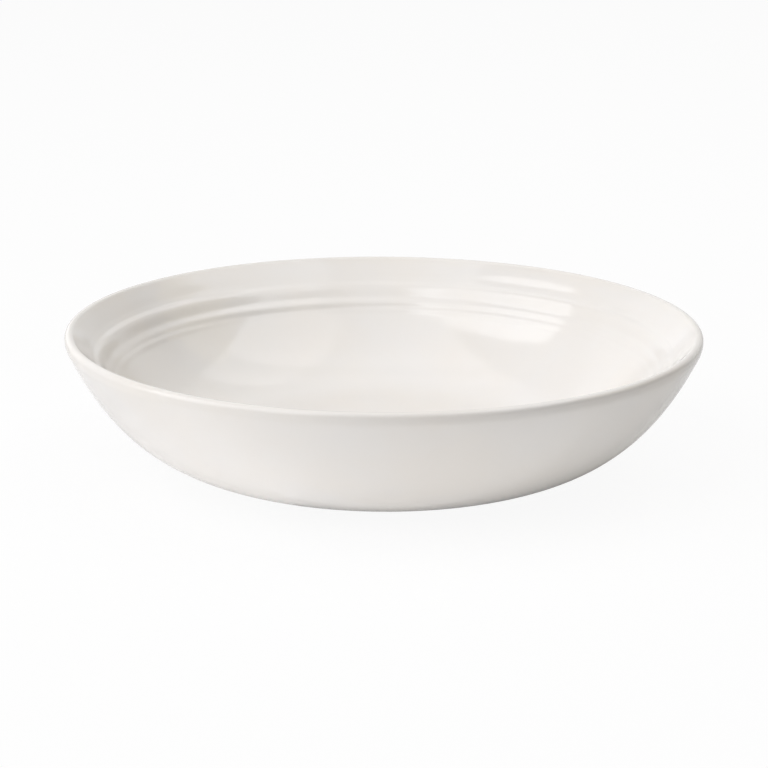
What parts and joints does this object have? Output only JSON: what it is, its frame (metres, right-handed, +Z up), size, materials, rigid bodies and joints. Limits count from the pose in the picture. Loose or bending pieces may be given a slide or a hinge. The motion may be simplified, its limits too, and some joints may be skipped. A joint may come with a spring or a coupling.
{
  "type": "stoneware bowl",
  "caption": "Wide shallow glazed stoneware bowl for pasta or soup, with a thin rounded lip, throwing rings inside and a turned foot ring.",
  "frame": {"origin": "centre of the foot ring's standing face, on the table", "axes": "+Z up along the axis that the bowl is turned on; the picture looks along +Y, with +X to the right"},
  "size_m": [0.22, 0.22, 0.05],
  "materials": {
    "stoneware": "bare fired clay, fine grained and matt",
    "cream_glaze": "glossy warm white glaze"
  },
  "bodies": {
    "root": {"stoneware_body": "stoneware", "glaze_coat": "cream_glaze", "base_glaze": "cream_glaze"}
  },
  "joints": []
}
